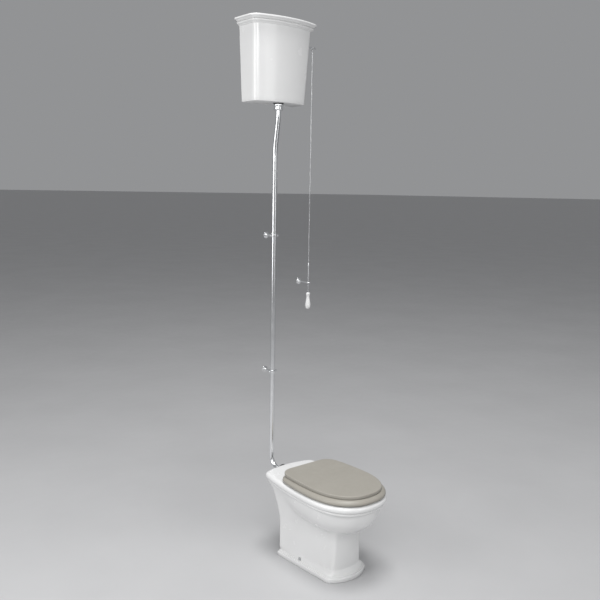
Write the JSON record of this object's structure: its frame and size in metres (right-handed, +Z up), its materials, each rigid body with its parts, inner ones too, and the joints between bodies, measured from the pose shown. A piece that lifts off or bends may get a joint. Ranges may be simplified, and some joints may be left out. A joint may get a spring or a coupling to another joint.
{
  "type": "high level toilet suite",
  "caption": "High-level toilet: a pedestal pan with hinged seat and lid, a tall flush pipe on wall brackets, and a wall-hung cistern with a side lever and pull chain.",
  "frame": {"origin": "on the floor, in the middle of the underside of the back wall of the pan's foot", "axes": "+Z up, the pan faces -Y, and the wall is the plane y = 0.296"},
  "size_m": [0.432, 0.803, 2.542],
  "materials": {
    "glaze": "gloss",
    "seat_paint": "satin",
    "chrome": "polished",
    "steel": "satin",
    "brass": "satin",
    "rubber": "matte",
    "white_plastic": "matte"
  },
  "bodies": {
    "pan_and_cistern": {"pan": "glaze", "floor_bracket_left": "white_plastic", "floor_bracket_right": "white_plastic", "floor_screw_left": "steel", "floor_screw_right": "steel", "foot_screw_left": "steel", "foot_screw_right": "steel", "hinge_post_left": "chrome", "hinge_post_right": "chrome", "hinge_pin_left": "chrome", "hinge_pin_right": "chrome", "hinge_stud_left": "steel", "hinge_stud_right": "steel", "hinge_bush_left": "rubber", "hinge_bush_right": "rubber", "flush_pipe": "chrome", "flush_cone": "rubber", "pipe_rose_lower": "chrome", "pipe_clamp_lower": "chrome", "clamp_screw_lower_left": "chrome", "clamp_screw_lower_right": "chrome", "pipe_rose_upper": "chrome", "pipe_clamp_upper": "chrome", "clamp_screw_upper_left": "chrome", "clamp_screw_upper_right": "chrome", "cistern_body": "glaze", "wall_washer_left": "rubber", "wall_washer_right": "rubber", "wall_screw_left": "steel", "wall_screw_right": "steel", "siphon_body": "white_plastic", "tail_washer": "rubber", "tail_nut": "chrome", "pipe_nut": "chrome", "fill_valve": "brass", "fill_valve_nut": "brass", "float_pin": "brass", "lever_pin": "chrome", "lever_bracket": "steel", "lever_escutcheon": "chrome", "escutcheon_screw_upper": "chrome", "escutcheon_screw_lower": "chrome", "guide_rose": "chrome", "guide_eye": "chrome"},
    "seat": {"seat_ring": "seat_paint", "ring_buffer_front_left": "rubber", "ring_buffer_front_right": "rubber", "ring_buffer_back_left": "rubber", "ring_buffer_back_right": "rubber"},
    "lid": {"seat_lid": "seat_paint"},
    "lever": {"lever": "chrome"},
    "pull": {"chain_hook": "chrome", "pull_chain": "chrome", "pull_rod": "chrome", "pull_handle": "glaze"},
    "siphon_lift": {"siphon_lift_rod": "brass", "siphon_piston": "white_plastic"},
    "float": {"float_arm": "brass", "float": "white_plastic"},
    "cistern_cover": {"cistern_lid": "glaze"}
  },
  "joints": [
    {"name": "seat_hinge", "type": "hinge", "parent": "pan_and_cistern", "child": "seat", "pos_m": [0, -0.042, 0.417], "axis": [-1, 0, 0], "range_deg": [0, 97]},
    {"name": "lid_hinge", "type": "hinge", "parent": "seat", "child": "lid", "pos_m": [0, -0.042, 0.417], "axis": [1, 0, 0], "range_deg": [-97, 0]},
    {"name": "lever_pivot", "type": "hinge", "parent": "pan_and_cistern", "child": "lever", "pos_m": [0.11, 0.218, 2.447], "axis": [0, 1, 0], "range_deg": [0, 20], "stiffness_Nm_per_rad": 1, "springref_deg": -20.05},
    {"name": "pull_slide", "type": "slide", "parent": "pan_and_cistern", "child": "pull", "axis": [0, 0, -1], "range_m": [0, 0.0375]},
    {"name": "siphon_slide", "type": "slide", "parent": "pan_and_cistern", "child": "siphon_lift", "axis": [0, 0, 1], "range_m": [0, 0.0598]},
    {"name": "float_hinge", "type": "hinge", "parent": "pan_and_cistern", "child": "float", "pos_m": [0.104, 0.256, 2.468], "axis": [0, 1, 0], "range_deg": [0, 28]},
    {"name": "cistern_lid_lift", "type": "slide", "parent": "pan_and_cistern", "child": "cistern_cover", "axis": [0, 0, 1], "range_m": [0, 0.15]}
  ],
  "couplings": [
    {"joint": "pull_slide", "follows": "lever_pivot", "m_per_rad": 0.107},
    {"joint": "siphon_slide", "follows": "lever_pivot", "m_per_rad": 0.171}
  ]
}
